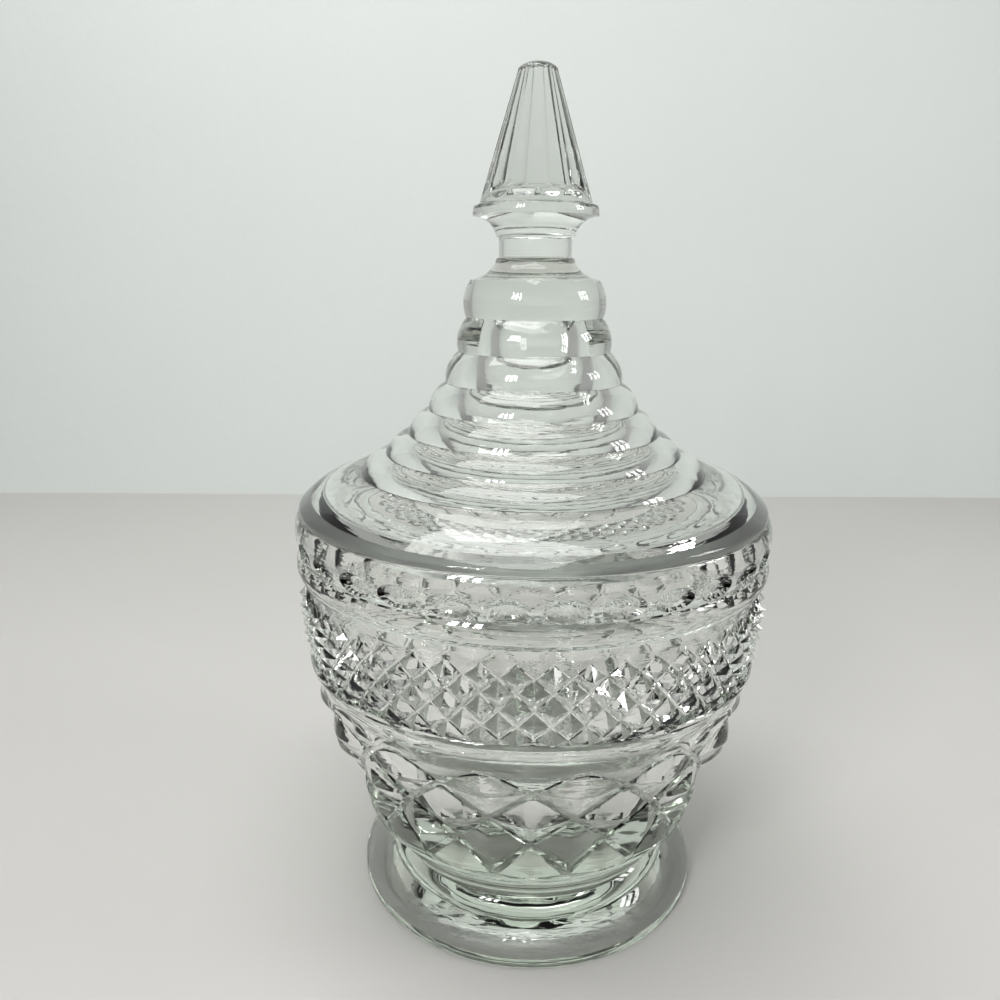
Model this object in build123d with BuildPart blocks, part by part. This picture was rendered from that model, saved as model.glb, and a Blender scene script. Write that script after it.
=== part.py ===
from build123d import *
import os
from math import atan2, cos, degrees, hypot, pi, radians, sin

# Covered candy dish of pressed glass: a footed bowl and its lift-off lid.
# Millimetres. Z is up, and the origin is the centre of the foot's underside.

# Bowl: height of each moulding, from the table upwards
foot_edge_height = 2.8
foot_flare_height = 4.3
waist_bead_height = 5.7
undercut_height = 12.5
body_edge_height = 0.9
lattice_height = 36.7
cove_height = 6.8
bead_height = 2.4
diamond_height = 19.8
notch_height = 3.6
torus_height = 6.4
rim_height = 10.2

# Bowl: radius of each moulding, and how far it bulges or hollows
foot_radius = 49.3
foot_edge_round = 0.8
foot_recess_radius = 40.5
foot_recess_depth = 3.0
flare_top_radius = 40.9
flare_hollow = 0.9
waist_radius = 39.0
waist_bulge = 0.9
undercut_hollow = 1.2
body_edge_stand = 1.1
lattice_bottom_radius = 46.8
lattice_set_back = 0.1
cove_stand = 0.6
cove_hollow = 0.6
bead_stand = 2.4
bead_bulge = 0.8
diamond_lean = 2.2
torus_stand = 1.8
torus_bulge = 1.2
rim_radius = 63.5
rim_bulge = 1.3

# Bowl: glass thickness behind the grooves, and inside
rim_wall = 3.4
lattice_wall = 4.1
shoulder_drop = 46.1
floor_height = 21.5
floor_flat_radius = 16.0
inside_belly = 11.0

# Bands of staggered four-sided points: each row is its drop below the band's top and its point height
lattice_columns = 16
lattice_rows = ((0.0, 0.0), (5.9, 3.0), (15.4, 3.3), (23.8, 3.1), (lattice_height, 1.1))
diamond_columns = 48
diamond_rows = ((0.0, 0.0), (3.5, 3.2), (7.3, 3.2), (11.6, 3.2), (15.9, 3.2), (diamond_height, 3.0))
pattern_turn = -0.95
band_skin = 0.8
band_depth = 2.2

# Oval thumbprints under the rim
oval_count = 32
oval_width = 10.6
oval_height = 5.6
oval_cut_depth = 1.5
oval_slope_width = 1.1
oval_drop = 7.1

# Lid: height of each part, from the seat upwards
lid_edge_height = 1.5
skirt_height = 7.9
neck_cove_height = 5.4
neck_height = 5.4
flange_cove_height = 5.0
flange_height = 2.9
spire_height = 33.2

# Lid: rings from the skirt up, each the radius at its foot and its height
ring_sizes = ((46.7, 5.0), (40.0, 5.1), (33.9, 6.4), (28.3, 7.2), (23.7, 8.1), (20.3, 8.7), (18.2, 9.5))
ring_notch = 0.3
ring_bulge = 1.15
top_ring_taper = 1.3

# Lid: radius of each other part
lid_edge_inset = 0.1
lid_edge_round = 0.5
skirt_bulge = 1.9
neck_radius = 9.5
neck_lip = 0.6
neck_hollow = 1.3
flange_radius = 16.2
flange_top_radius = 15.3
flange_slope = 0.5
spire_bottom_radius = 13.9
spire_tip_radius = 5.0
spire_crown = 1.6

# Flutes of the spire
flute_count = 12
flute_bottom_radius = 4.4
flute_tip_radius = 1.9
flute_depth = 0.9
flute_foot_gap = 2.2

# Lid: pointed hollow and the flange that drops inside the rim
hollow_height = 48.4
hollow_tip_height = 6.5
hollow_tip_radius = 8.5
hollow_bow = 8.0
plug_depth = 4.0
plug_wall = 3.4
plug_clearance = 0.6

# Heights that follow from the sizes above
flare_top = foot_edge_height + foot_flare_height
waist_top = flare_top + waist_bead_height
body_edge = waist_top + undercut_height
lattice_bottom = body_edge + body_edge_height
lattice_top = lattice_bottom + lattice_height
cove_top = lattice_top + cove_height
diamond_bottom = cove_top + bead_height
diamond_top = diamond_bottom + diamond_height
torus_bottom = diamond_top + notch_height
torus_top = torus_bottom + torus_height
seat = torus_top + rim_height

# Radii that follow from the rim down
torus_radius = rim_radius
diamond_top_radius = torus_radius - torus_stand
diamond_bottom_radius = diamond_top_radius - diamond_lean
bead_radius = diamond_bottom_radius + bead_stand
lattice_top_radius = diamond_bottom_radius - lattice_set_back
body_edge_radius = lattice_bottom_radius + body_edge_stand
rim_inside = diamond_top_radius - rim_wall
lattice_inside = (lattice_top_radius - lattice_wall, seat - shoulder_drop)
lid_edge_radius = rim_radius - lid_edge_inset


def bulged(start, end, bulge):
    """Arc from start to end whose middle stands bulge to the right of the way it runs."""
    run = end[0] - start[0]
    rise = end[1] - start[1]
    length = hypot(run, rise)
    middle = (
        (start[0] + end[0]) / 2 + bulge * rise / length,
        (start[1] + end[1]) / 2 - bulge * run / length,
    )
    return ThreePointArc(start, middle, end)


def flat_face(corners, hole=None):
    """Flat face inside a closed polygon, with an optional polygon hole."""
    outline = Wire.make_polygon(corners)
    return Face(outline, [Wire.make_polygon(hole)]) if hole else Face(outline)


def pointed_band(levels, columns, depth):
    """Closed ring whose outside is rows of four-sided points, staggered by half a column.

    levels lists (height, groove radius, point height) from the top down. Grooves cross at the columns of
    each level, and a point stands between two crossings of its level, under one of the level above.
    """
    half = pi / columns
    front = radians(pattern_turn) - pi / 2

    def corner(level, step, lift=0.0):
        height, radius, point_height = levels[level]
        angle = step * half + front
        return Vector((radius + lift) * cos(angle), (radius + lift) * sin(angle), height)

    def point(level, step):
        return corner(level, step, levels[level][2])

    last = len(levels) - 1
    faces = []
    for level in range(last + 1):
        stagger = (level + 1) % 2
        for column in range(columns):
            left = 2 * column + stagger
            tip = point(level, left + 1)
            sides = corner(level, left), corner(level, left + 2)
            if level > 0:
                above = corner(level - 1, left + 1)
                faces.append(flat_face([sides[0], tip, above]))
                faces.append(flat_face([sides[1], above, tip]))
            if level < last:
                below = corner(level + 1, left + 1)
                faces.append(flat_face([sides[0], below, tip]))
                faces.append(flat_face([sides[1], tip, below]))

    steps = range(2 * columns)
    inner = {level: [corner(level, step, -depth) for step in steps] for level in (0, last)}
    for level in (0, last):
        stagger = (level + 1) % 2
        rim = [point(level, step) if (step + stagger) % 2 else corner(level, step) for step in steps]
        faces.append(flat_face(rim, inner[level]))
    for step in steps:
        beside = (step + 1) % (2 * columns)
        faces.append(flat_face([inner[0][step], inner[0][beside], inner[last][beside], inner[last][step]]))
    return Solid(Shell(faces))


def lattice_groove(drop):
    """Groove radius of the lattice: straight from its top to its bottom."""
    lean = lattice_top_radius - lattice_bottom_radius
    return lattice_top_radius - drop / lattice_height * lean


def diamond_groove(drop):
    """Groove radius of the small diamonds: it falls with the square of the drop."""
    return diamond_top_radius - (drop / diamond_height) ** 2 * diamond_lean


# Thumbprint: oval that slopes inwards from the widest part of the rim band
oval_reach = rim_radius + rim_bulge
with BuildPart() as thumbprint:
    with BuildSketch(Plane.YZ.offset(oval_reach)):
        Ellipse(oval_width / 2, oval_height / 2)
    with BuildSketch(Plane.YZ.offset(oval_reach - oval_cut_depth)):
        Ellipse(oval_width / 2 - oval_slope_width, oval_height / 2 - oval_slope_width)
    loft()

# Bowl: glass body turned from its section
lattice_levels = [(lattice_top - drop, lattice_groove(drop), rise) for drop, rise in lattice_rows]
diamond_levels = [(diamond_top - drop, diamond_groove(drop), rise) for drop, rise in diamond_rows]

with BuildPart() as bowl:
    with BuildSketch(Plane.XZ):
        with BuildLine():
            # Foot: domed recess, resting ring and rounded edge
            TangentArc((0, foot_recess_depth), (foot_recess_radius, 0), tangent=(1, 0))
            Line((foot_recess_radius, 0), (foot_radius - foot_edge_round, 0))
            bulged(
                (foot_radius - foot_edge_round, 0),
                (foot_radius, foot_edge_round),
                foot_edge_round / 4,
            )
            Line((foot_radius, foot_edge_round), (foot_radius, foot_edge_height - foot_edge_round))
            bulged(
                (foot_radius, foot_edge_height - foot_edge_round),
                (foot_radius - foot_edge_round, foot_edge_height),
                foot_edge_round / 4,
            )
            # Flare, waist bead and undercut up to the pattern
            bulged(
                (foot_radius - foot_edge_round, foot_edge_height),
                (flare_top_radius, flare_top),
                -flare_hollow,
            )
            bulged((flare_top_radius, flare_top), (waist_radius, waist_top), waist_bulge)
            bulged((waist_radius, waist_top), (body_edge_radius, body_edge), -undercut_hollow)
            Line((body_edge_radius, body_edge), (body_edge_radius, lattice_bottom))
            # Wall behind the lattice, then the cove and bead above it
            Line((body_edge_radius, lattice_bottom), (lattice_bottom_radius - band_skin, lattice_bottom))
            Line(
                (lattice_bottom_radius - band_skin, lattice_bottom),
                (lattice_top_radius - band_skin, lattice_top),
            )
            Line((lattice_top_radius - band_skin, lattice_top), (lattice_top_radius + cove_stand, lattice_top))
            bulged((lattice_top_radius + cove_stand, lattice_top), (bead_radius, cove_top), -cove_hollow)
            bulged((bead_radius, cove_top), (bead_radius, diamond_bottom), bead_bulge)
            # Wall behind the small diamonds, then the notch, the torus and the rim
            Line((bead_radius, diamond_bottom), (diamond_bottom_radius - band_skin, diamond_bottom))
            Line(
                (diamond_bottom_radius - band_skin, diamond_bottom),
                (diamond_top_radius - band_skin, diamond_top),
            )
            Line((diamond_top_radius - band_skin, diamond_top), (diamond_top_radius, diamond_top))
            Line((diamond_top_radius, diamond_top), (diamond_top_radius, torus_bottom))
            Line((diamond_top_radius, torus_bottom), (torus_radius, torus_bottom))
            bulged((torus_radius, torus_bottom), (torus_radius, torus_top), torus_bulge)
            bulged((torus_radius, torus_top), (rim_radius, seat), rim_bulge)
            # Flat seat and the inside
            Line((rim_radius, seat), (rim_inside, seat))
            Line((rim_inside, seat), lattice_inside)
            bulged(lattice_inside, (floor_flat_radius, floor_height), -inside_belly)
            Line((floor_flat_radius, floor_height), (0, floor_height))
            Line((0, floor_height), (0, foot_recess_depth))
        make_face()
    revolve(axis=Axis.Z)

    # Both bands of points
    add(pointed_band(lattice_levels, lattice_columns, band_depth))
    add(pointed_band(diamond_levels, diamond_columns, band_depth))

    # Thumbprints pressed into the rim band
    with Locations((0, 0, seat - oval_drop)):
        with PolarLocations(0, oval_count, start_angle=180 / oval_count + pattern_turn - 90):
            add(thumbprint.part, mode=Mode.SUBTRACT)
bowl.part.label = "bowl"

# Lid: places that follow from the seat upwards
plug_radius = rim_inside - plug_clearance
plug_inside = plug_radius - plug_wall
skirt_bottom = seat + lid_edge_height
ring_feet = [skirt_bottom + skirt_height]
for ring_radius, ring_height in ring_sizes:
    ring_feet.append(ring_feet[-1] + ring_height)
neck_bottom = ring_feet[-1] + neck_cove_height
neck_top = neck_bottom + neck_height
flange_bottom = neck_top + flange_cove_height
flange_top = flange_bottom + flange_height
spire_shoulder = flange_top + spire_height - spire_crown
lid_top = flange_top + spire_height
ring_tops = [radius - ring_notch for radius, height in ring_sizes[1:]]
ring_tops.append(ring_sizes[-1][0] - top_ring_taper)
hollow_top = seat + hollow_height
hollow_tip = (hollow_tip_radius, hollow_top - hollow_tip_height)

# Flute: round-ended tapered cutter, laid along the slope of the spire
slope_run = spire_bottom_radius - spire_tip_radius
slope_rise = spire_height - spire_crown
slope_length = hypot(slope_run, slope_rise)
flute_length = slope_length - flute_foot_gap
lean = degrees(atan2(slope_run, slope_rise))
lean_taper = degrees(atan2(flute_bottom_radius - flute_tip_radius, flute_length))
foot_share = flute_foot_gap / slope_length
flute_start = spire_bottom_radius - foot_share * slope_run + flute_bottom_radius - flute_depth
flute_base = Location(
    (flute_start, 0, flange_top + foot_share * slope_rise + flute_foot_gap),
    (0, -lean - lean_taper, 0),
)

with BuildPart() as flute:
    with BuildSketch(Plane.XZ):
        with BuildLine():
            Line((0, 0), (flute_bottom_radius, 0))
            Line((flute_bottom_radius, 0), (flute_tip_radius, flute_length))
            Line((flute_tip_radius, flute_length), (0, flute_length))
            Line((0, flute_length), (0, 0))
        make_face()
    revolve(axis=Axis.Z)
    Sphere(flute_bottom_radius)

# Lid: section turned about the same axis
with BuildPart() as lid:
    with BuildSketch(Plane.XZ):
        with BuildLine():
            # Locating flange, flat seat face and rounded edge
            Line((plug_inside, seat), (plug_inside, seat - plug_depth))
            Line((plug_inside, seat - plug_depth), (plug_radius, seat - plug_depth))
            Line((plug_radius, seat - plug_depth), (plug_radius, seat))
            Line((plug_radius, seat), (lid_edge_radius - lid_edge_round, seat))
            bulged(
                (lid_edge_radius - lid_edge_round, seat),
                (lid_edge_radius, seat + lid_edge_round),
                lid_edge_round / 4,
            )
            Line((lid_edge_radius, seat + lid_edge_round), (lid_edge_radius, skirt_bottom))
            # Skirt, then the stack of rings
            bulged(
                (lid_edge_radius, skirt_bottom),
                (ring_sizes[0][0] - ring_notch, ring_feet[0]),
                skirt_bulge,
            )
            Line((ring_sizes[0][0] - ring_notch, ring_feet[0]), (ring_sizes[0][0], ring_feet[0]))
            for index, (ring_radius, ring_height) in enumerate(ring_sizes):
                ring_top = (ring_tops[index], ring_feet[index + 1])
                bulged((ring_radius, ring_feet[index]), ring_top, ring_bulge)
                if index + 1 < len(ring_sizes):
                    Line(ring_top, (ring_sizes[index + 1][0], ring_feet[index + 1]))
            # Neck, flange and spire
            bulged((ring_tops[-1], ring_feet[-1]), (neck_radius + neck_lip, neck_bottom), -neck_hollow)
            Line((neck_radius + neck_lip, neck_bottom), (neck_radius, neck_bottom))
            Line((neck_radius, neck_bottom), (neck_radius, neck_top))
            Line((neck_radius, neck_top), (neck_radius + neck_lip, neck_top))
            bulged((neck_radius + neck_lip, neck_top), (flange_radius, flange_bottom), -neck_hollow)
            Line((flange_radius, flange_bottom), (flange_top_radius, flange_top - flange_slope))
            Line((flange_top_radius, flange_top - flange_slope), (spire_bottom_radius, flange_top))
            Line((spire_bottom_radius, flange_top), (spire_tip_radius, spire_shoulder))
            TangentArc((0, lid_top), (spire_tip_radius, spire_shoulder), tangent=(1, 0))
            Line((0, lid_top), (0, hollow_top))
            # Hollow
            TangentArc((0, hollow_top), hollow_tip, tangent=(1, 0))
            bulged(hollow_tip, (plug_inside, seat), hollow_bow)
        make_face()
    revolve(axis=Axis.Z)

    # Flutes down the spire
    with PolarLocations(0, flute_count, start_angle=180 / flute_count + pattern_turn):
        with Locations(flute_base):
            add(flute.part, mode=Mode.SUBTRACT)
lid.part.label = "lid"

os.makedirs("parts", exist_ok=True)
export_step(bowl.part, "parts/bowl.step")
export_step(lid.part, "parts/lid.step")
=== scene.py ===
import math

import bpy
import numpy as np
from bpy.props import FloatProperty, FloatVectorProperty, IntProperty, PointerProperty
from mathutils import Matrix, Vector


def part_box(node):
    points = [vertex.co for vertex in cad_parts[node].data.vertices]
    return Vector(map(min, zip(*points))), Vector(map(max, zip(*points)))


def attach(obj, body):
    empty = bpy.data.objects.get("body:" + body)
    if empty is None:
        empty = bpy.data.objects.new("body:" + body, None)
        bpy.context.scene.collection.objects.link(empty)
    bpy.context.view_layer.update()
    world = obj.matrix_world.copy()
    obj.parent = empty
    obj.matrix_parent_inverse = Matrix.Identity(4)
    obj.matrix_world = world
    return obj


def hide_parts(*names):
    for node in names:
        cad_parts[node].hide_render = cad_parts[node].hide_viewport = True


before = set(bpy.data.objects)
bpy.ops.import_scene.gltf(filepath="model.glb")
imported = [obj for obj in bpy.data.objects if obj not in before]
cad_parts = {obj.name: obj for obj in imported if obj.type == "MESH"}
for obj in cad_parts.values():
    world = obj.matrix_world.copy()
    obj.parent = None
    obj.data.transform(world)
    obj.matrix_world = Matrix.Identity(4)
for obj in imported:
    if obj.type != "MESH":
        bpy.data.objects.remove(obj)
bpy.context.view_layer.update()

bl_info = {
    "name": "Pressed glass candy dish",
    "version": (1, 0, 0),
    "blender": (4, 5, 0),
    "location": "3D View > Sidebar > Candy dish",
    "description": "Builds a footed pressed-glass bowl and its pointed lid over the packed frame",
    "category": "Add Mesh",
}

MM = 0.001
# Heights of the rim that carries the lid and of the spire's tip, in metres
SEAT = float(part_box("bowl")[1][2])
LID_TOP = float(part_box("lid")[1][2])


def millimetres(name, description, default, low=0.0):
    """A length property whose default is given in millimetres and kept in metres."""
    return FloatProperty(
        name=name,
        description=description,
        default=default * MM,
        min=low * MM,
        precision=5,
        unit="LENGTH",
        subtype="DISTANCE",
    )


def count(name, description, default):
    """A whole-number property of at least three."""
    return IntProperty(name=name, description=description, default=default, min=3)


def colour(name, description, default):
    """A linear colour property."""
    return FloatVectorProperty(
        name=name, description=description, default=default, size=3, min=0.0, max=1.0, subtype="COLOR"
    )


def plain(name, description, default, high=1.0, low=0.0):
    """A bare number property."""
    return FloatProperty(name=name, description=description, default=default, min=low, max=high)


def turned(name, description, default):
    """An angle property whose default is given in degrees."""
    return FloatProperty(name=name, description=description, default=math.radians(default), subtype="ANGLE")


def watts(name, description, default):
    """The power of a lamp."""
    return FloatProperty(name=name, description=description, default=default, min=0.0, unit="POWER")


class BowlSizes(bpy.types.PropertyGroup):
    """Sizes of the bowl, in metres from the table and the axis."""

    recess_radius: millimetres("Recess radius", "Radius of the hollow under the foot", 40.5)
    recess_depth: millimetres("Recess depth", "Depth of the hollow under the foot", 3.0)
    recess_bow: millimetres("Recess bow", "How far the hollow's face bows", 0.75)
    foot_radius: millimetres("Foot radius", "Radius of the foot's rounded edge", 49.3)
    foot_edge: millimetres("Foot edge height", "Height of the foot's upright edge", 2.8)
    foot_round: millimetres("Foot edge bulge", "How far the foot's edge stands out", 0.15)
    flare_radius: millimetres("Flare radius", "Radius where the foot's flare ends", 40.9)
    flare_height: millimetres("Flare height", "Height where the foot's flare ends", 7.1)
    flare_hollow: millimetres("Flare hollow", "How far the flare hollows", 0.9)
    waist_radius: millimetres("Waist radius", "Radius at the bottom of the undercut", 39.0)
    waist_top: millimetres("Waist height", "Height where the undercut starts", 12.8)
    waist_round: millimetres("Waist bulge", "How far the waist rounds outwards", 0.9)
    body_bottom: millimetres("Body bottom", "Height of the sharp lower edge of the body", 25.3)
    body_radius: millimetres("Body bottom radius", "Radius of the sharp lower edge of the body", 47.9)
    undercut_hollow: millimetres("Undercut hollow", "How far the undercut below that edge hollows", 1.2)
    cove_top: millimetres("Cove top", "Height where the plain cove meets the bead", 69.7)
    cove_hollow: millimetres("Cove hollow", "How far the plain cove hollows", 0.6)
    bead_radius: millimetres("Bead radius", "Radius of the bead below the small diamonds", 61.9)
    bead_step: millimetres("Bead step", "How far the bead's foot lies inside its top", 0.5)
    bead_bulge: millimetres("Bead bulge", "How far the bead stands out", 0.8)
    torus_bottom: millimetres("Torus bottom", "Height of the smooth roll's lower edge", 95.5)
    torus_top: millimetres("Torus top", "Height of the smooth roll's upper edge", 101.9)
    torus_radius: millimetres("Torus radius", "Radius at the edges of the smooth roll", 63.5)
    torus_bulge: millimetres("Torus bulge", "How far the roll stands out", 1.2)
    torus_notch: millimetres("Torus notch", "Depth and width of the notch below the roll", 0.3)
    rim_radius: millimetres("Rim radius", "Radius of the rim at the seat", 63.5)
    rim_bulge: millimetres("Rim bulge", "How far the rim band stands out", 1.3)
    inside_rim: millimetres("Inside radius at the rim", "Radius of the opening", 58.3)
    inside_shoulder: millimetres("Shoulder radius", "Inside radius where the belly starts", 55.3)
    inside_shoulder_height: millimetres("Shoulder height", "Height where the inside belly starts", 66.0)
    inside_floor: millimetres("Inside floor height", "Height of the inside floor", 21.5)
    inside_flat: millimetres("Inside floor radius", "Radius of the flat inside floor", 16.0)
    inside_belly: millimetres("Inside belly", "How far the inside wall bows outwards", 10.4)


class PatternSizes(bpy.types.PropertyGroup):
    """Counts and depths of the bowl's pressed patterns."""

    turn: turned("Turn of the pattern", "Angle of the front crossing from straight ahead", -0.95)
    large_columns: count("Large diamonds round", "Number of large diamonds in a row", 16)
    small_columns: count("Small diamonds round", "Number of small diamonds in a row", 48)
    ovals: count("Ovals round", "Number of oval thumbprints under the rim", 32)
    large_channel: plain("Large channel share", "Half a channel's share of a diamond's side", 0.05, 0.4)
    large_step: millimetres("Large diamond step", "Height of the steep edge along the channels", 0.5)
    large_dome: plain("Large diamond dome", "Power that rounds the faces, 1 for flat ones", 1.4, 4.0)
    cove_lift: millimetres("Cove lift", "How far the field over the large arches stands out", 0.8)
    small_channel: plain("Small channel share", "Half a groove's share of a diamond's side", 0.04, 0.4)
    small_step: millimetres("Small diamond step", "Height of the steep edge along the grooves", 0.25)
    oval_height: millimetres("Oval height", "Height of a thumbprint", 5.8)
    oval_width: millimetres("Oval width", "Width of a thumbprint", 10.6)
    oval_depth: millimetres("Oval depth", "Depth of a thumbprint", 1.9)
    oval_drop: millimetres("Oval drop", "Depth of the thumbprints' centres below the seat", 7.1)
    oval_margin: millimetres("Oval margin", "Height of the plain strip above and below a thumbprint", 0.35)


class LidSizes(bpy.types.PropertyGroup):
    """Sizes of the lid in metres, with heights from the seat, or for neck and flange from the last ring."""

    edge_radius: millimetres("Edge radius", "Radius of the lid's outer edge", 63.4)
    edge_height: millimetres("Edge height", "Height of the lid's upright edge", 1.5)
    edge_round: millimetres("Edge rounding", "Reach of the rounding over the upright edge", 0.7)
    seat_round: millimetres("Seat rounding", "Reach of the rounding under the upright edge", 0.3)
    skirt_height: millimetres("Skirt height", "Rise of the rounded skirt below the rings", 7.9)
    skirt_bulge: millimetres("Skirt bulge", "How far the skirt rounds outwards", 1.9)
    ring_notch: millimetres("Ring notch", "How far each ring steps out over the one below", 0.3)
    ring_bulge: millimetres("Ring bulge", "How far each ring rounds outwards", 1.15)
    last_ring: millimetres("Last ring", "How far the last ring draws in on its way up", 1.3)
    neck_low: millimetres("Neck bottom", "Height of the neck's lower lip", 5.4)
    neck_high: millimetres("Neck top", "Height of the neck's upper lip", 10.8)
    neck_radius: millimetres("Neck radius", "Radius of the neck under the spire", 9.5)
    neck_lip: millimetres("Neck lip", "How far a small lip stands out at each end of the neck", 0.6)
    neck_hollow: millimetres("Neck hollow", "How far the coves below and above the neck hollow", 1.3)
    flange_low: millimetres("Flange bottom", "Height of the flange's sharp lower edge", 15.8)
    flange_high: millimetres("Flange top", "Height of the flange's upper face", 18.7)
    flange_radius: millimetres("Flange radius", "Radius of the flange's sharp lower edge", 16.2)
    flange_top: millimetres("Flange top radius", "Radius of the flange's upper edge", 15.9)
    flange_bevel: millimetres("Flange bevel", "How far the upper edge lies below the upper face", 0.5)
    spire_radius: millimetres("Spire radius", "Radius of the spire on its flange", 14.5)
    spire_tip: millimetres("Spire tip radius", "Radius of the spire under its crown", 5.0)
    crown_height: millimetres("Crown height", "Height of the round crown on the spire", 2.1)
    flutes: count("Flutes", "Number of flutes round the spire", 12)
    flute_depth: millimetres("Flute depth", "Depth of each flute", 0.9)
    plug_radius: millimetres("Plug radius", "Outside radius of the flange inside the rim", 57.7)
    plug_inside: millimetres("Plug inside radius", "Inside radius of that flange", 54.3)
    plug_depth: millimetres("Plug depth", "How far that flange drops into the bowl", 4.0)
    air_gap: millimetres("Air gap", "Air between the lid's seat and the rim", 0.12)
    hollow_top: millimetres("Hollow height", "Top of the pointed hollow above the seat", 49.6)
    tip_radius: millimetres("Hollow tip radius", "Radius where the hollow's round tip starts", 9.6)
    tip_height: millimetres("Hollow tip height", "Height of the hollow's round tip", 7.0)
    hollow_bow: millimetres("Hollow bow", "How far the hollow's wall bows towards the axis", 6.0)


class GlassFinish(bpy.types.PropertyGroup):
    """Colour and surface of the pressed glass."""

    tint: colour("Surface tint", "Colour that each surface passes", (0.98, 0.988, 0.975))
    depth_tint: colour("Depth tint", "Colour that thick glass takes", (0.61, 0.69, 0.58))
    depth_density: plain("Depth density", "How strongly thick glass takes its colour", 11.0, 100.0)
    index: plain("Index", "Index of refraction", 1.52, 2.5, 1.0)
    polish_low: plain("Best polish", "Lowest roughness of the fire-polished skin", 0.0)
    polish_high: plain("Worst polish", "Highest roughness of the fire-polished skin", 0.02)
    seat_matt: plain("Seat mattness", "Roughness of the lid's unpolished underside", 0.4)
    ripple: millimetres("Ripple", "Height of the slow ripples of the pressed skin", 0.06)
    drag: millimetres("Drag lines", "Height of the fine lines round the body", 0.035)


class StudioLook(bpy.types.PropertyGroup):
    """Floor, backdrop and lamps of the picture."""

    floor: colour("Floor", "Colour of the floor", (0.54, 0.53, 0.51))
    wall: colour("Wall", "Colour of the backdrop", (0.65, 0.68, 0.66))
    horizon: colour("Horizon", "Light from the sides", (0.98, 1.0, 0.99))
    zenith: colour("Ceiling", "Light from overhead", (0.16, 0.16, 0.16))
    flanks: colour("Flanks", "Light from the far left and right", (0.4, 0.4, 0.395))
    below: colour("Below the table", "Light from under the table's edges", (0.04, 0.035, 0.03))
    wall_distance: millimetres("Wall distance", "Distance of the backdrop behind the dish", 430.0)
    wall_height: millimetres("Wall height", "Height of the backdrop", 1600.0)
    table_reach: millimetres("Table reach", "Half the width of the table", 480.0)
    table_front: millimetres("Table front", "How far the table reaches towards the viewer", 200.0)
    table_drop: millimetres("Table drop", "How far the table lies below the foot", 0.15)
    front_angle: turned("Front window's angle", "Angle of the front window from straight ahead", -31.0)
    side_angle: turned("Side window's angle", "Angle of the side window from straight ahead", 84.0)
    key_power: watts("Key power", "Power of the front window", 2.6)
    side_power: watts("Side power", "Power of the side window", 1.2)
    fill_power: watts("Fill power", "Power of the overhead lamp", 5.2)


# Surfaces worked out on grids


def on_circle(angles, radii, heights):
    """Point at an angle from the front, turning to the right: (radius sin, -radius cos, height)."""
    return np.stack([radii * np.sin(angles), -radii * np.cos(angles), heights + 0.0 * angles], axis=-1)


def bow(start, end, bulge, steps):
    """Section from start to end: the straight run plus, to its right, bulge times 4t(1 - t)."""
    t = np.linspace(0.0, 1.0, steps + 1)[:, None]
    start, end = np.asarray(start, float), np.asarray(end, float)
    run = end - start
    right = np.array([run[1], -run[0]]) / max(math.hypot(run[0], run[1]), 1e-12)
    return start + t * run + 4.0 * bulge * t * (1.0 - t) * right


def traced(start, *legs):
    """Section from a start through legs. Each leg is its end, the bulge of the bow that leads there and the
    number of steps."""
    section = [np.array([start], float)]
    for end, bulge, steps in legs:
        section.append(bow(start, end, bulge, steps)[1:])
        start = end
    return np.concatenate(section)


def softened(section, place, reach, steps=4):
    """Section whose point nearest to a place is replaced by a curve, a (1 - t)^2 + 2 c t (1 - t) + b t^2.
    Its ends lie reach away on either side, or almost half way to the neighbour where that is nearer."""
    corner = int(np.argmin(np.linalg.norm(section - np.array(place), axis=1)))
    here = section[corner]
    before, after = section[corner - 1], section[corner + 1]
    back = (before - here) / max(np.linalg.norm(before - here), 1e-12)
    ahead = (after - here) / max(np.linalg.norm(after - here), 1e-12)
    a = here + back * min(reach, np.linalg.norm(before - here) * 0.49)
    b = here + ahead * min(reach, np.linalg.norm(after - here) * 0.49)
    t = np.linspace(0.0, 1.0, steps + 1)[:, None]
    curve = a * (1 - t) ** 2 + 2 * here * t * (1 - t) + b * t**2
    return np.concatenate([section[:corner], curve, section[corner + 1 :]])


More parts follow.
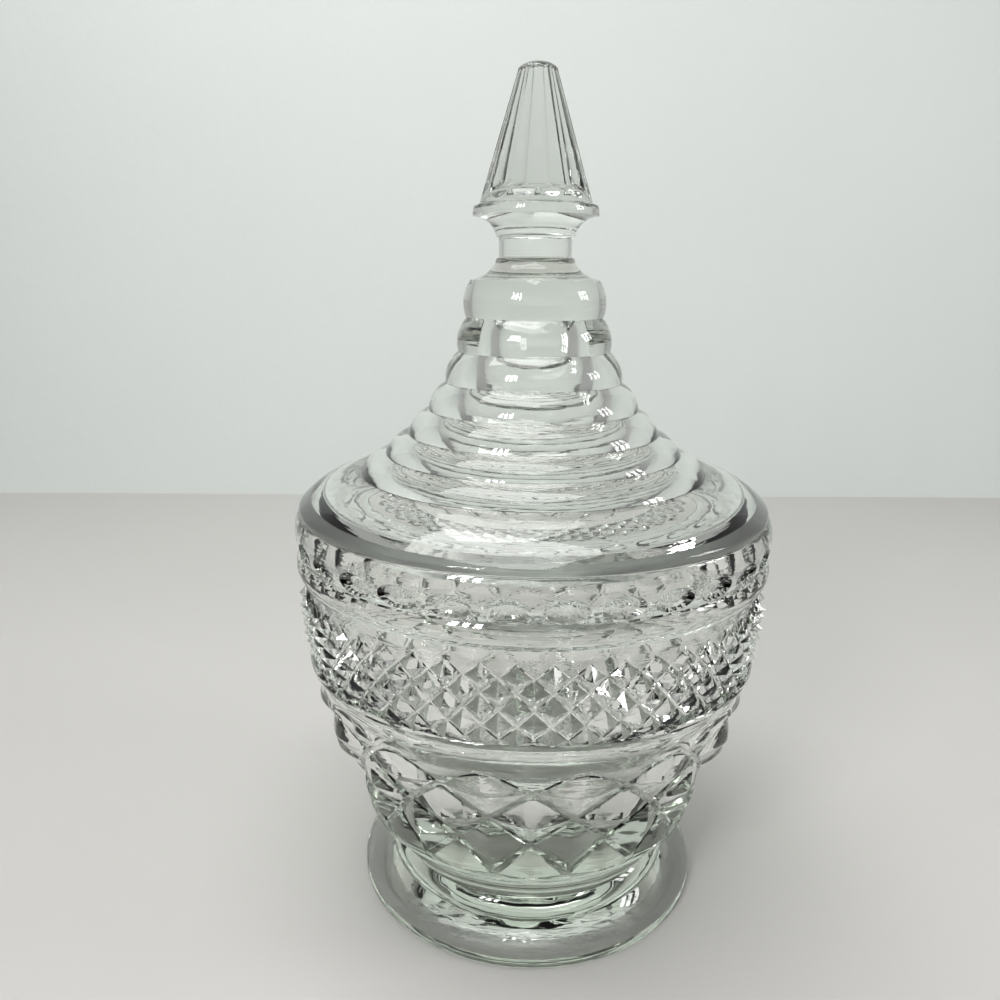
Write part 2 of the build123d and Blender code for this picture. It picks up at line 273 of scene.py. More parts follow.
class GlassShell:
    """One closed surface, gathered ring by ring from its first pole to its last."""

    def __init__(self, columns):
        self.even = np.arange(columns) * (2.0 * np.pi / columns)
        self.points = []
        self.triangles = []
        self.total = 0
        self.ring = None
        self.angles = None

    def put(self, points):
        """Keeps points and gives their numbers."""
        numbers = np.arange(len(points)) + self.total
        self.points.append(points)
        self.total += len(points)
        return numbers

    def follow(self, ring, angles):
        """Skins the space between the last ring and this one. The gaps of both rings are sorted by their
        middle angle, and each gap is joined to the point that the other ring has reached there."""
        if self.ring is not None:
            lower, low_angles = self.ring, self.angles
            if len(lower) == 1:
                faces = np.stack([np.repeat(lower, len(ring)), np.roll(ring, -1), ring], axis=1)
            elif len(ring) == 1:
                faces = np.stack([lower, np.roll(lower, -1), np.repeat(ring, len(lower))], axis=1)
            else:
                middles = [a + 0.5 * ((np.roll(a, -1) - a) % (2 * np.pi)) for a in (low_angles, angles)]
                owner = np.repeat([0, 1], [len(lower), len(ring)])
                order = np.argsort(np.concatenate(middles) + owner * 1e-9, kind="stable")
                owner = owner[order]
                i = np.cumsum(owner == 0) - (owner == 0)
                j = np.cumsum(owner == 1) - (owner == 1)
                low, high = lower[i % len(lower)], ring[j % len(ring)]
                third = np.where(owner == 0, lower[(i + 1) % len(lower)], ring[(j + 1) % len(ring)])
                faces = np.stack([low, third, high], axis=1)
            self.triangles.append(faces)
        self.ring, self.angles = ring, angles

    def pole(self, height):
        """A single point on the axis."""
        self.follow(self.put(np.array([[0.0, 0.0, height]])), np.zeros(1))

    def turn(self, section):
        """A section turned about the axis: every one of its points becomes a ring."""
        for radius, height in section:
            self.follow(self.put(on_circle(self.even, radius, height)), self.even)

    def grid(self, angles, radii, heights):
        """Rows of rings whose radius changes with the angle: one row of radii for each height."""
        for row, height in zip(radii, heights):
            self.follow(self.put(on_circle(angles, row, height)), angles)

    def band(self, angles, levels, points, triangles, top):
        """A ready patch all round, from level 0 to its top level. Its lowest ring is joined to what lies
        below, and its highest ring becomes the last one."""
        numbers = self.put(points)
        self.triangles.append(triangles + numbers[0])
        around = angles % (2 * np.pi)
        lowest, highest = (np.flatnonzero(np.abs(levels - level) < 1e-6) for level in (0, top))
        lowest, highest = (edge[np.argsort(around[edge])] for edge in (lowest, highest))
        self.follow(numbers[lowest], around[lowest])
        self.ring, self.angles = numbers[highest], around[highest]

    def mesh(self, name, crease):
        """The Blender mesh, smooth but for the edges that turn by more than the crease angle."""
        mesh = bpy.data.meshes.new(name)
        mesh.from_pydata(np.concatenate(self.points), [], np.concatenate(self.triangles))
        mesh.shade_smooth()
        mesh.set_sharp_from_angle(angle=crease)
        mesh.validate()
        return mesh


def welded(angles, levels, triangles, *others):
    """Merges the points that neighbouring cells share: those whose angle and level agree to a millionth of
    a turn and a hundred-thousandth of a level. The nudge keeps round shares away from a half step."""
    turn_steps, level_steps, nudge = 10**6, 10**5, 0.137
    share = (angles % (2 * np.pi)) / (2 * np.pi)
    share = np.round(share * turn_steps + nudge).astype(np.int64) % turn_steps
    rise = np.round(levels * level_steps + nudge).astype(np.int64)
    # One number for both, with room for a thousand levels between two shares
    _, first, back = np.unique(share * 1000 * level_steps + rise, return_index=True, return_inverse=True)
    triangles = back[triangles]
    used = np.unique(triangles)
    renumber = np.full(len(first), -1)
    renumber[used] = np.arange(len(used))
    keep = first[used]
    return renumber[triangles], [a[keep] for a in (angles, levels) + others]


def diamond_band(columns, turn, top, lines):
    """Staggered diamonds all round. A cell is the unit square (u, v) with u - v across and u + v upwards,
    so the square's sides are the slanting channels. Level 0 is the lowest line of centres and top the
    highest. Gives the triangles and, for every point, its angle, its level, its place across the cell from
    -1 to 1, its depth in the cell from 0 to 1, the cell's own level, |2u - 1| and |2v - 1|."""
    n = len(lines) - 1
    u, v = np.meshgrid(lines, lines, indexing="ij")
    i, j = np.meshgrid(np.arange(n), np.arange(n), indexing="ij")
    i, j = i.ravel(), j.ravel()
    a, b, c, d = i * (n + 1) + j, (i + 1) * (n + 1) + j, (i + 1) * (n + 1) + j + 1, i * (n + 1) + j + 1
    # Squares on the cell's upright middle line are cut along it and all others across, so that the cell can
    # be halved at its centre's level
    upright = (i == j)[:, None]
    one = np.where(upright, np.stack([a, b, c], 1), np.stack([a, b, d], 1))
    two = np.where(upright, np.stack([a, c, d], 1), np.stack([b, c, d], 1))
    u, v = u.ravel(), v.ravel()
    across, up = u - v, u + v - 1.0
    inside = 2.0 * np.minimum(np.minimum(u, 1 - u), np.minimum(v, 1 - v))
    level, column = np.meshgrid(np.arange(top + 1), np.arange(columns), indexing="ij")
    level, column = level.ravel()[:, None], column.ravel()[:, None]
    offset = ((top - level) % 2) / 2.0
    angles = (turn + (column + offset + across / 2.0) * (2 * np.pi / columns)).ravel()
    levels = (level + up).ravel()
    triangles = np.concatenate([one, two])[None] + (np.arange(len(level)) * len(u))[:, None, None]
    triangles = triangles.reshape(-1, 3)
    middle = levels[triangles].mean(axis=1)
    triangles = triangles[(middle > 0) & (middle < top)]
    own_level = np.repeat(level.ravel(), len(u))
    across, inside, first, second = (
        np.tile(values, len(level)) for values in (across, inside, np.abs(2 * u - 1), np.abs(2 * v - 1))
    )
    return welded(angles, levels, triangles, across, inside, own_level, first, second)


def stepped_pyramid(first, second, inside, height, channel, step, dome, power, run):
    """Height of a four-sided point over its channel: a steep step within a short run, and on it the rest of
    the height times 1 - m^dome, where m is the larger of |2u - 1| and |2v - 1| out of the point's own half
    width, softened as (a^p + b^p)^(1/p)."""
    m = (first**power + second**power) ** (1.0 / power)
    share = 1.0 - np.clip(m / (1.0 - 2.0 * channel), 0.0, 1.0) ** dome
    edge = np.clip((inside / 2 - channel) / run, 0.0, 1.0)
    return edge * np.minimum(step, height) + share * np.maximum(height - step, 0.0)


def cell_lines(channel, within):
    """Grid lines across a cell: its border, the channel's edge and the shares within it up to the middle,
    and the same from the other side."""
    half = np.concatenate([[0.0, channel], within])
    return np.concatenate([half, 1.0 - half[-2::-1]])


def oval_cell(across_share, up_share, side, rings):
    """A square cell with an oval in it. Its border, with so many steps to a side, is carried straight in to
    the oval's edge at x = a cos q, y = b sin q, and then in even rings to the centre. Gives x, y and the
    share s of the way out from the centre (1 at the oval's edge and outside it), and the triangles."""
    run = np.linspace(-1.0, 1.0, side + 1)[:-1]
    one = np.ones(side)
    sides = ([run, -one], [one, run], [-run, one], [-one, -run])
    border = np.concatenate([np.stack(pair, 1) for pair in sides])
    oval = border / np.linalg.norm(border, axis=1)[:, None] * np.array([across_share, up_share])
    shares = np.linspace(1.0, 0.0, rings + 1)[:-1]
    inner = (oval[None] * shares[:, None, None]).reshape(-1, 2)
    places = np.concatenate([border, inner, [[0.0, 0.0]]])
    depth = np.concatenate([np.ones(len(border)), np.repeat(shares, len(border)), [0.0]])
    around = np.arange(len(border))
    beside = np.roll(around, -1)
    faces = []
    for ring in range(rings):
        low, high = ring * len(border), (ring + 1) * len(border)
        faces.append(np.stack([low + around, low + beside, high + beside], 1))
        faces.append(np.stack([low + around, high + beside, high + around], 1))
    last = rings * len(border)
    faces.append(np.stack([last + around, last + beside, np.full(len(around), len(places) - 1)], 1))
    return places[:, 0], places[:, 1], depth, np.concatenate(faces)


# The bowl

# Large diamonds, from the lowest line of centres up: its height, its groove radius and its points' height
LARGE_ROWS = MM * np.array(
    [(26.2, 46.4, 1.3), (36.2, 47.6, 4.2), (47.0, 53.2, 3.5), (57.0, 57.2, 3.2), (62.9, 59.3, 0.0)]
)
# Small diamonds, the same three numbers
SMALL_ROWS = MM * np.array(
    [
        (72.1, 59.5, 3.0),
        (76.0, 60.3, 3.1),
        (80.3, 60.95, 3.1),
        (84.6, 61.4, 3.1),
        (88.4, 61.6, 3.1),
        (91.9, 61.7, 0.0),
    ]
)
# Gaps between a turned part and the pattern next to it, which the skin between their rings bridges
BELOW_LARGE, ABOVE_LARGE, ABOVE_SMALL, ABOVE_OVALS = 0.2 * MM, 0.7 * MM, 0.4 * MM, 0.3 * MM


def large_diamonds(shell, sizes):
    """Three rows of large four-sided points and half a row below them. In the top interval a height is
    stretched by one plus the share x across, so the straight upper sides become arches z = a + b (1 - x^2),
    and the field above the arches is plain."""
    top = len(LARGE_ROWS) - 1
    row_heights, row_radii, row_points = LARGE_ROWS.T
    channel, run, field_run = sizes.large_channel, 0.014, 0.1
    lines = cell_lines(channel, np.linspace(channel + run, 0.5, 9))
    faces, cells = diamond_band(sizes.large_columns, sizes.turn, top, lines)
    angles, levels, across, inside, row, first, second = cells
    low, high = row_heights[top - 1], row_heights[top]
    rise = levels - (top - 1)
    x = np.where(row == top, 1.0 - np.abs(across), np.abs(across))
    arch = low + (high - low) * (1.0 - x**2)
    under = low + (high - low) * rise * (1.0 + x)
    over = arch + (high - arch) * np.clip((rise - (1.0 - x)) / np.maximum(x, 1e-9), 0.0, 1.0)
    heights = np.interp(levels, np.arange(top + 1), row_heights)
    heights = np.where(rise > 0, np.where(row == top, over, under), heights)
    point = stepped_pyramid(
        first,
        second,
        inside,
        height=row_points[row],
        channel=channel,
        step=sizes.large_step,
        dome=sizes.large_dome,
        power=14.0,
        run=run,
    )
    field = sizes.cove_lift * np.clip((inside - 2 * channel) / field_run, 0.0, 1.0)
    radii = np.interp(heights, row_heights, row_radii) + np.where(row == top, field, point)
    shell.band(angles, levels, on_circle(angles, radii, heights), faces, top)


def small_diamonds(shell, sizes):
    """Rows of small four-sided points: groove radius plus the stepped pyramid with flat faces."""
    top = len(SMALL_ROWS) - 1
    row_heights, row_radii, row_points = SMALL_ROWS.T
    channel, run = sizes.small_channel, 0.03
    lines = cell_lines(channel, (channel + run, 0.43, 0.5))
    faces, cells = diamond_band(sizes.small_columns, sizes.turn, top, lines)
    angles, levels, _, inside, row, first, second = cells
    point = stepped_pyramid(
        first,
        second,
        inside,
        height=row_points[row],
        channel=channel,
        step=sizes.small_step,
        dome=1.0,
        power=20.0,
        run=run,
    )
    heights = np.interp(levels, np.arange(top + 1), row_heights)
    radii = np.interp(levels, np.arange(top + 1), row_radii) + point
    shell.band(angles, levels, on_circle(angles, radii, heights), faces, top)


def rim_surface(heights, bowl):
    """Radius of the rim band: the straight run from the torus to the seat plus bulge times 4t(1 - t)."""
    t = (heights - bowl.torus_top) / (SEAT - bowl.torus_top)
    return bowl.torus_radius + t * (bowl.rim_radius - bowl.torus_radius) + 4 * bowl.rim_bulge * t * (1 - t)


def oval_thumbprints(shell, bowl, sizes):
    """Ovals pressed into the rim band: the band's radius less the depth times 1 - s^4. Gives the height at
    which their band ends."""
    pitch = 2 * np.pi / sizes.ovals
    half = sizes.oval_height / 2 + sizes.oval_margin
    width = sizes.oval_width / (pitch * (bowl.rim_radius + bowl.rim_bulge))
    x, y, share, cell = oval_cell(width, sizes.oval_height / 2 / half, side=6, rings=5)
    column = np.arange(sizes.ovals)[:, None]
    angles = (sizes.turn + (column + 0.5 + x[None] / 2) * pitch).ravel()
    levels = np.tile((y + 1) / 2, sizes.ovals)
    share = np.tile(share, sizes.ovals)
    faces = (cell[None] + column[:, :, None] * len(x)).reshape(-1, 3)
    faces, (angles, levels, share) = welded(angles, levels, faces, share)
    heights = SEAT - sizes.oval_drop + (2 * levels - 1) * half
    radii = rim_surface(heights, bowl) - sizes.oval_depth * (1 - share**4)
    shell.band(angles, levels, on_circle(angles, radii, heights), faces, 1)
    return SEAT - sizes.oval_drop + half


def bowl_shell(bowl, sizes):
    """The bowl's glass, followed from the middle of the underside out, up over the patterns, and down the
    inside."""
    shell = GlassShell(columns=256)
    foot_low = (bowl.foot_radius, 0.0)
    foot_high = (bowl.foot_radius, bowl.foot_edge)
    flare = ((bowl.flare_radius, bowl.flare_height), -bowl.flare_hollow, 12)
    foot = traced(
        (0.0, bowl.recess_depth),
        ((bowl.recess_radius, 0.0), bowl.recess_bow, 10),
        (foot_low, 0.0, 1),
        (foot_high, bowl.foot_round, 4),
        flare,
        ((bowl.waist_radius, bowl.waist_top), bowl.waist_round, 10),
        ((bowl.body_radius, bowl.body_bottom), -bowl.undercut_hollow, 12),
        ((bowl.body_radius, LARGE_ROWS[0, 0] - BELOW_LARGE), 0.0, 1),
    )
    foot = softened(foot, traced(foot_high, flare)[1], 1.0 * MM)
    foot = softened(foot, foot_low, 0.7 * MM)
    shell.pole(bowl.recess_depth)
    shell.turn(foot[1:])
    large_diamonds(shell, sizes)
    cove = traced(
        (LARGE_ROWS[-1, 1] + sizes.cove_lift, LARGE_ROWS[-1, 0] + ABOVE_LARGE),
        ((bowl.bead_radius - bowl.bead_step, bowl.cove_top), -bowl.cove_hollow, 8),
        ((bowl.bead_radius, SMALL_ROWS[0, 0]), bowl.bead_bulge, 10),
    )
    shell.turn(cove)
    small_diamonds(shell, sizes)
    notch_radius = SMALL_ROWS[-1, 1]
    roll = traced(
        (notch_radius, SMALL_ROWS[-1, 0] + ABOVE_SMALL),
        ((notch_radius + bowl.torus_notch, bowl.torus_bottom - bowl.torus_notch), 0.0, 3),
        ((bowl.torus_radius, bowl.torus_bottom), 0.0, 2),
        ((bowl.torus_radius, bowl.torus_top), bowl.torus_bulge, 14),
    )
    shell.turn(roll[:-1])
    oval_top = oval_thumbprints(shell, bowl, sizes)
    rise = np.linspace(oval_top + ABOVE_OVALS, SEAT, 7)
    opening = (bowl.inside_rim, SEAT)
    inside = traced(
        (bowl.rim_radius, SEAT),
        (opening, 0.0, 2),
        ((bowl.inside_shoulder, bowl.inside_shoulder_height), 0.0, 20),
        ((bowl.inside_flat, bowl.inside_floor), -bowl.inside_belly, 40),
        ((2 * MM, bowl.inside_floor), 0.0, 4),
    )
    inside = np.concatenate([np.stack([rim_surface(rise, bowl), rise], axis=1), inside[1:]])
    inside = softened(inside, opening, 0.8 * MM)
    inside = softened(inside, (bowl.rim_radius, SEAT), 0.5 * MM)
    shell.turn(inside)
    shell.pole(bowl.inside_floor)
    return shell


# The lid

# Rings from the skirt up: the radius at their foot and their height
RINGS = MM * np.array(
    [(46.7, 5.0), (40.0, 5.1), (33.9, 6.4), (28.3, 7.2), (23.7, 8.1), (20.3, 8.7), (18.2, 9.5)]
)


def fluted_spire(shell, lid, low, high):
    """A cone with flutes: the cone's radius less the depth times 1 - x^2 - y^2, where x runs from -1 to 1
    across a flute and y is how far a place lies below the flute's rounded foot, both in shares of their
    size."""
    steps = 24
    foot_rows_end, foot_height, foot_length, thinning = 0.16, 0.12, 0.09, 0.45
    step = np.arange(lid.flutes * steps)
    angles = step * (2 * np.pi / (lid.flutes * steps))
    x = ((step % steps) / steps) * 2 - 1
    t = np.concatenate([np.linspace(0.0, foot_rows_end, 14), np.linspace(foot_rows_end, 1.0, 26)[1:]])
    cone = lid.spire_radius + t * (lid.spire_tip - lid.spire_radius)
    y = np.clip((foot_height - t) / foot_length, 0.0, 5.0)
    shape = np.clip(1.0 - x[None, :] ** 2 - y[:, None] ** 2, 0.0, 1.0)
    depth = lid.flute_depth * (1.0 - thinning * t)
    shell.grid(angles, cone[:, None] - depth[:, None] * shape, low + t * (high - low))


def ring_legs(lid, foot):
    """Legs of a section up over the stepped rings from the skirt's top, and the height where they end."""
    legs = []
    for index, (radius, height) in enumerate(RINGS):
        foot += height
        if index + 1 == len(RINGS):
            legs.append(((radius - lid.last_ring, foot), lid.ring_bulge, 10))
        else:
            outer = RINGS[index + 1, 0]
            legs.append(((outer - lid.ring_notch, foot), lid.ring_bulge, 10))
            legs.append(((outer, foot), 0.0, 1))
    return legs, foot


def lid_shell(lid):
    """The lid's glass, followed from the top of the hollow down, round the edge, and up to the tip."""
    shell = GlassShell(columns=192)
    top = SEAT + lid.hollow_top
    tip = (lid.tip_radius, top - lid.tip_height)
    turn = np.linspace(0.0, np.pi / 2, 9)[1:-1]
    dome = np.stack([tip[0] * np.sin(turn), tip[1] + lid.tip_height * np.cos(turn)], axis=1)
    seat, plug_foot = SEAT + lid.air_gap, SEAT - lid.plug_depth
    edge_low, edge_high = (lid.edge_radius, seat), (lid.edge_radius, SEAT + lid.edge_height)
    skirt_top = edge_high[1] + lid.skirt_height
    rings, rings_top = ring_legs(lid, skirt_top)
    neck_low, neck_high = rings_top + lid.neck_low, rings_top + lid.neck_high
    flange_low, flange_high = rings_top + lid.flange_low, rings_top + lid.flange_high
    lip, lip_height, lip_round = lid.neck_radius + lid.neck_lip, 0.3 * MM, 0.05 * MM
    section = traced(
        tip,
        ((lid.plug_inside, SEAT), lid.hollow_bow, 32),
        ((lid.plug_inside, plug_foot), 0.0, 2),
        ((lid.plug_radius, plug_foot), 0.0, 2),
        ((lid.plug_radius, seat), 0.0, 2),
        (edge_low, 0.0, 2),
        (edge_high, 0.0, 1),
        ((RINGS[0, 0] - lid.ring_notch, skirt_top), lid.skirt_bulge, 16),
        ((RINGS[0, 0], skirt_top), 0.0, 1),
        *rings,
        ((lip, neck_low), -lid.neck_hollow, 10),
        ((lid.neck_radius, neck_low + lip_height), lip_round, 3),
        ((lid.neck_radius, neck_high - lip_height), 0.0, 3),
        ((lip, neck_high), lip_round, 3),
        ((lid.flange_radius, flange_low), -lid.neck_hollow, 10),
        ((lid.flange_top, flange_high - lid.flange_bevel), 0.15 * MM, 5),
        ((lid.spire_radius + 0.2 * MM, flange_high), 0.05 * MM, 3),
    )
    section = softened(section, edge_high, lid.edge_round, 8)
    section = softened(section, edge_low, lid.seat_round, 5)
    shell.pole(top)
    shell.turn(dome)
    shell.turn(section)
    shoulder = LID_TOP - lid.crown_height
    fluted_spire(shell, lid, flange_high + 0.1 * MM, shoulder)
    turn = np.linspace(0.0, np.pi / 2, 8)[1:-1]
    crown = np.stack([lid.spire_tip * np.cos(turn), shoulder + lid.crown_height * np.sin(turn)], axis=1)
    shell.turn(crown)
    shell.pole(LID_TOP)
    return shell


# Glass, floor and backdrop


def node(tree, kind, **values):
    """A shader node with some of its settings and unlinked inputs given by name."""
    made = tree.nodes.new(kind)
    for key, value in values.items():
        if key in made.bl_rna.properties:
            setattr(made, key, value)
        else:
            made.inputs[key.replace("_", " ")].default_value = value
    return made


def colour_mix(tree, factor, first, second):
    """Output of a mix of two colours by a factor. Each colour may be plain or another node's output."""
    made = node(tree, "ShaderNodeMix", data_type="RGBA")
    tree.links.new(factor, made.inputs["Factor"])
    for socket, value in ((made.inputs[6], first), (made.inputs[7], second)):
        if isinstance(value, bpy.types.NodeSocket):
            tree.links.new(value, socket)
        else:
            socket.default_value = (*value, 1.0)
    return made.outputs[2]


def pressed_glass(finish):
    """Clear soda glass: polish that varies in soft patches, slow ripples, and fine lines round the body.
    The lid's underside is matt: it is the only broad face within a thin layer just above the rim."""
    layer_middle, layer_reach = SEAT + 0.15 * MM, 0.1 * MM
    material = bpy.data.materials.new("pressed_glass")
    material.use_nodes = True
    tree = material.node_tree
    tree.nodes.clear()
    link = tree.links.new
    place = node(tree, "ShaderNodeTexCoord")
    patches = node(tree, "ShaderNodeTexNoise", Scale=70.0, Detail=3.0, Roughness=0.6)
    polish = node(tree, "ShaderNodeMapRange", From_Min=0.42, From_Max=0.75)
    polish.inputs["To Min"].default_value = finish.polish_low
    polish.inputs["To Max"].default_value = finish.polish_high
    heights = node(tree, "ShaderNodeSeparateXYZ")
    on_seat = node(tree, "ShaderNodeMath", operation="COMPARE")
    on_seat.inputs[1].default_value = layer_middle
    on_seat.inputs[2].default_value = layer_reach
    matt = node(tree, "ShaderNodeMath", operation="MULTIPLY_ADD")
    matt.inputs[1].default_value = finish.seat_matt
    ripples = node(tree, "ShaderNodeTexNoise", Scale=95.0, Detail=2.0, Roughness=0.45)
    ripple_bump = node(tree, "ShaderNodeBump", Strength=1.0, Distance=finish.ripple)
    squeeze = node(tree, "ShaderNodeMapping", Scale=(60.0, 60.0, 900.0))
    drag = node(tree, "ShaderNodeTexNoise", Scale=1.0, Detail=2.0, Roughness=0.5)
    drag_bump = node(tree, "ShaderNodeBump", Strength=1.0, Distance=finish.drag)
    glass = node(tree, "ShaderNodeBsdfPrincipled", IOR=finish.index, Transmission_Weight=1.0)
    glass.inputs["Base Color"].default_value = (*finish.tint, 1.0)
    depth = node(tree, "ShaderNodeVolumeAbsorption", Density=finish.depth_density)
    depth.inputs["Color"].default_value = (*finish.depth_tint, 1.0)
    out = node(tree, "ShaderNodeOutputMaterial")
    for target in (patches, heights, ripples, squeeze):
        link(place.outputs["Object"], target.inputs["Vector"])
    link(patches.outputs["Fac"], polish.inputs["Value"])
    link(heights.outputs["Z"], on_seat.inputs[0])
    link(on_seat.outputs["Value"], matt.inputs[0])
    link(polish.outputs["Result"], matt.inputs[2])
    link(matt.outputs["Value"], glass.inputs["Roughness"])
    link(ripples.outputs["Fac"], ripple_bump.inputs["Height"])
    link(squeeze.outputs["Vector"], drag.inputs["Vector"])
    link(drag.outputs["Fac"], drag_bump.inputs["Height"])
    link(ripple_bump.outputs["Normal"], drag_bump.inputs["Normal"])
    link(drag_bump.outputs["Normal"], glass.inputs["Normal"])
    link(glass.outputs["BSDF"], out.inputs["Surface"])
    link(depth.outputs["Volume"], out.inputs["Volume"])
    return material


def pale_surface(name, base, grain):
    """A matt painted surface whose colour and height vary a little."""
    material = bpy.data.materials.new(name)
    material.use_nodes = True
    tree = material.node_tree
    link = tree.links.new
    surface = tree.nodes["Principled BSDF"]
    surface.inputs["Roughness"].default_value = 0.6
    place = node(tree, "ShaderNodeTexCoord")
    mottle = node(tree, "ShaderNodeTexNoise", Scale=6.0, Detail=4.0)
    shade = node(tree, "ShaderNodeMapRange", To_Min=0.97, To_Max=1.03)
    tone = node(tree, "ShaderNodeVectorMath", operation="SCALE")
    tone.inputs[0].default_value = base
    relief = node(tree, "ShaderNodeTexNoise", Scale=grain, Detail=4.0)
    bump = node(tree, "ShaderNodeBump", Strength=0.3, Distance=0.001)
    for target in (mottle, relief):
        link(place.outputs["Object"], target.inputs["Vector"])
    link(mottle.outputs["Fac"], shade.inputs["Value"])
    link(shade.outputs["Result"], tone.inputs["Scale"])
    link(tone.outputs["Vector"], surface.inputs["Base Color"])
    link(relief.outputs["Fac"], bump.inputs["Height"])
    link(bump.outputs["Normal"], surface.inputs["Normal"])
    return material


def place_piece(shell, name, body, crease):
    """Makes the shell's object, lets it stand for the CAD node of that body, and gives it the glass."""
    piece = bpy.data.objects.new(name, shell.mesh(name, math.radians(crease)))
    bpy.context.scene.collection.objects.link(piece)
    glass = bpy.data.materials.get("pressed_glass") or pressed_glass(bpy.context.scene.dish_glass)
    piece.data.materials.append(glass)
    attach(piece, body)
    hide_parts(body)


class MakeBowl(bpy.types.Operator):
    """Build the footed bowl with its diamonds and thumbprints"""

    bl_idname = "candy_dish.make_bowl"
    bl_label = "Make the bowl"

    def execute(self, context):
        scene = context.scene
        place_piece(bowl_shell(scene.dish_bowl, scene.dish_pattern), "pressed_bowl", "bowl", crease=13.0)
        return {"FINISHED"}


class MakeLid(bpy.types.Operator):
    """Build the ringed lid with its fluted spire"""

    bl_idname = "candy_dish.make_lid"
    bl_label = "Make the lid"

    def execute(self, context):
        place_piece(lid_shell(context.scene.dish_lid), "pressed_lid", "lid", crease=24.0)
        return {"FINISHED"}


def soft_lamp(name, spot, aim, size, power):
    """An area lamp at a spot, turned to face its aim."""
    data = bpy.data.lights.new(name, "AREA")
    data.shape = "RECTANGLE"
    data.size, data.size_y = size
    data.energy = power
    lamp = bpy.data.objects.new(name, data)
    lamp.location = spot
    lamp.rotation_euler = (Vector(aim) - Vector(spot)).to_track_quat("-Z", "Y").to_euler()
    bpy.context.scene.collection.objects.link(lamp)


def stand_plane(name, corners, base, grain):
    """A painted plane of the stage through four corners."""
    mesh = bpy.data.meshes.new(name)
    mesh.from_pydata(corners, [], [(0, 1, 2, 3)])
    mesh.materials.append(pale_surface(name + "_paint", base, grain))
    plane = bpy.data.objects.new(name, mesh)
    bpy.context.scene.collection.objects.link(plane)


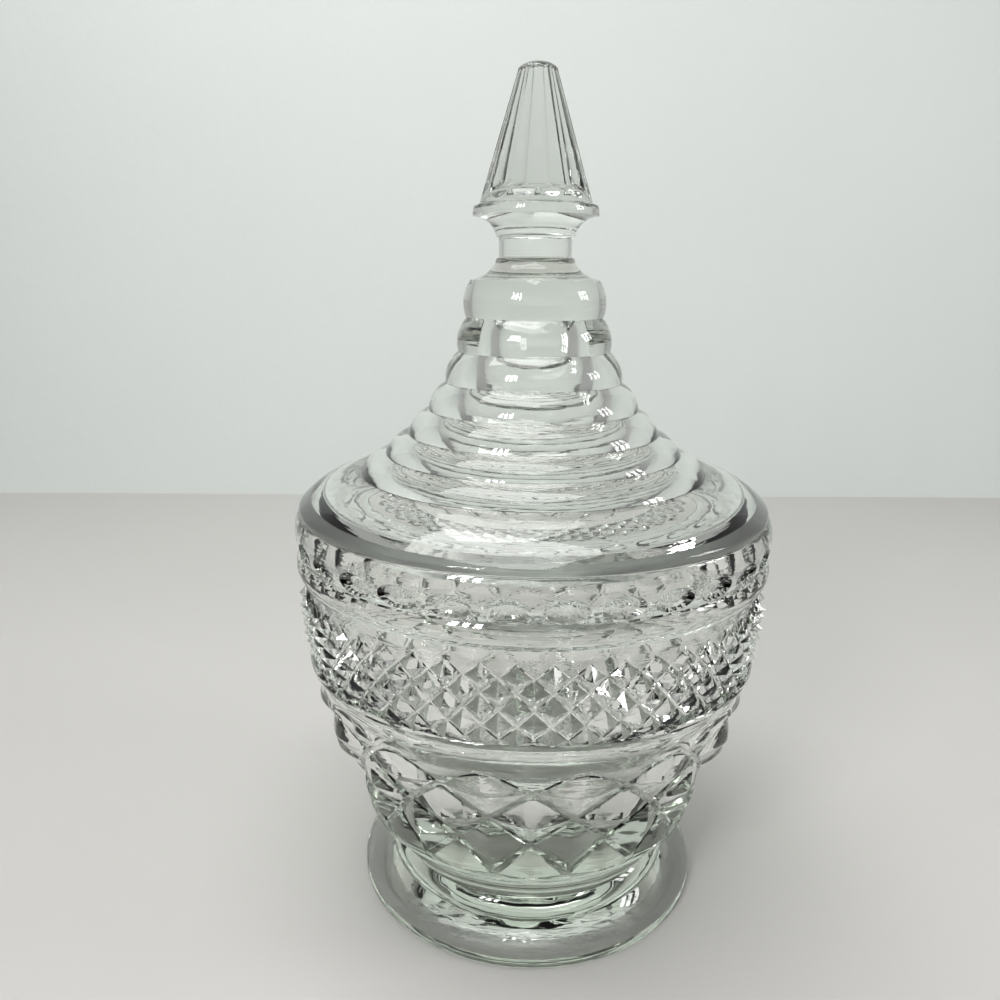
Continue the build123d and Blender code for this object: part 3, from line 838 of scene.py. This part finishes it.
class MakeStage(bpy.types.Operator):
    """Build the pale floor and backdrop, the soft lamps and the camera"""

    bl_idname = "candy_dish.make_stage"
    bl_label = "Make the stage"

    def execute(self, context):
        scene = context.scene
        look = scene.dish_studio
        low, high, reach = -look.table_drop, look.wall_height, look.table_reach
        front, back = -look.table_front, look.wall_distance
        floor = [(-reach, front, low), (reach, front, low), (reach, back, low), (-reach, back, low)]
        wall = [(-reach, back, low), (-reach, back, high), (reach, back, high), (reach, back, low)]
        stand_plane("floor", floor, look.floor, grain=40.0)
        stand_plane("wall", wall, look.wall, grain=90.0)
        self.light_world(scene, look)
        self.hang_window("front_window", look.front_angle, distance=0.72, height=0.42, power=look.key_power)
        self.hang_window("side_window", look.side_angle, distance=0.66, height=0.32, power=look.side_power)
        over, behind_dish = (-0.12, -0.05, 0.85), (0.0, 0.1, 0.1)
        soft_lamp("overhead", over, behind_dish, size=(0.7, 0.5), power=look.fill_power)
        self.place_camera(scene)
        scene.view_settings.view_transform = "Standard"
        return {"FINISHED"}

    @staticmethod
    def hang_window(name, angle, distance, height, power):
        """Six panes, three across and two up, standing at an angle from the front and facing the dish."""
        columns, rows, pane = 3, 2, (0.046, 0.1)
        pitch_across, pitch_up = 0.072, 0.125
        dish_middle = (0.0, 0.0, 0.11)
        for column in range(columns):
            for row in range(rows):
                aside = pitch_across * (column - (columns - 1) / 2)
                spot = (
                    distance * math.sin(angle) + aside * math.cos(angle),
                    -distance * math.cos(angle) + aside * math.sin(angle),
                    height + pitch_up * row,
                )
                soft_lamp(f"{name}_{column}{row}", spot, dish_middle, pane, power / (columns * rows))

    @staticmethod
    def light_world(scene, look):
        """World light that falls from the horizon's colour to the ceiling's with height, is dim at the
        flanks and dark below."""
        world = bpy.data.worlds.new("studio")
        world.use_nodes = True
        scene.world = world
        tree = world.node_tree
        tree.nodes.clear()
        link = tree.links.new
        smooth = {"interpolation_type": "SMOOTHSTEP"}
        place = node(tree, "ShaderNodeTexCoord")
        parts = node(tree, "ShaderNodeSeparateXYZ")
        rise = node(tree, "ShaderNodeMapRange", From_Min=0.18, From_Max=0.55, **smooth)
        sunk = node(tree, "ShaderNodeMapRange", From_Min=-0.02, From_Max=0.0)
        aside = node(tree, "ShaderNodeMath", operation="ABSOLUTE")
        turned_away = node(tree, "ShaderNodeMapRange", From_Min=0.45, From_Max=0.85, **smooth)
        light = node(tree, "ShaderNodeBackground", Strength=1.0)
        out = node(tree, "ShaderNodeOutputWorld")
        link(place.outputs["Generated"], parts.inputs["Vector"])
        link(parts.outputs["Z"], rise.inputs["Value"])
        link(parts.outputs["Z"], sunk.inputs["Value"])
        link(parts.outputs["X"], aside.inputs[0])
        link(aside.outputs["Value"], turned_away.inputs["Value"])
        sky = colour_mix(tree, rise.outputs["Result"], look.horizon, look.zenith)
        over_ground = colour_mix(tree, sunk.outputs["Result"], look.below, sky)
        flanked = colour_mix(tree, turned_away.outputs["Result"], over_ground, look.flanks)
        link(flanked, light.inputs["Color"])
        link(light.outputs["Background"], out.inputs["Surface"])

    @staticmethod
    def place_camera(scene):
        """Camera at the picture's height and distance, 15.09 degrees down and rolled by 0.3 degrees."""
        spot = (-8.83 * MM, -229.5 * MM, 173.73 * MM)
        pitch, roll = 0.263314, 0.005304
        data = bpy.data.cameras.new("camera")
        data.sensor_width, data.lens = 36.0, 30.6
        data.clip_start = 0.01
        camera = bpy.data.objects.new("camera", data)
        right, up = Vector((1, 0, 0)), Vector((0, math.sin(pitch), math.cos(pitch)))
        back = Vector((0, -math.cos(pitch), math.sin(pitch)))
        turned_right = right * math.cos(roll) + up * math.sin(roll)
        turned_up = up * math.cos(roll) - right * math.sin(roll)
        axes = Matrix((turned_right, turned_up, back)).transposed()
        camera.matrix_world = Matrix.Translation(spot) @ axes.to_4x4()
        scene.collection.objects.link(camera)
        scene.camera = camera


class DishPanel(bpy.types.Panel):
    """Sizes, finish and steps of the candy dish"""

    bl_idname = "VIEW3D_PT_candy_dish"
    bl_label = "Candy dish"
    bl_space_type = "VIEW_3D"
    bl_region_type = "UI"
    bl_category = "Candy dish"

    def draw(self, context):
        layout, scene = self.layout, context.scene
        for key, _ in SETTINGS:
            box = layout.box()
            for name in getattr(scene, key).bl_rna.properties.keys():
                if name not in ("rna_type", "name"):
                    box.prop(getattr(scene, key), name)
        for maker in STEPS:
            layout.operator(maker.bl_idname)


SETTINGS = (
    ("dish_bowl", BowlSizes),
    ("dish_pattern", PatternSizes),
    ("dish_lid", LidSizes),
    ("dish_glass", GlassFinish),
    ("dish_studio", StudioLook),
)
STEPS = (MakeBowl, MakeLid, MakeStage)
CLASSES = tuple(kind for _, kind in SETTINGS) + STEPS + (DishPanel,)


def register():
    for kind in CLASSES:
        bpy.utils.register_class(kind)
    for key, kind in SETTINGS:
        setattr(bpy.types.Scene, key, PointerProperty(type=kind))


def unregister():
    for key, _ in SETTINGS:
        delattr(bpy.types.Scene, key)
    for kind in reversed(CLASSES):
        bpy.utils.unregister_class(kind)


def main():
    """Registers the add-on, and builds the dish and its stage."""
    register()
    bpy.ops.candy_dish.make_bowl()
    bpy.ops.candy_dish.make_lid()
    bpy.ops.candy_dish.make_stage()


if __name__ == "__main__":
    main()
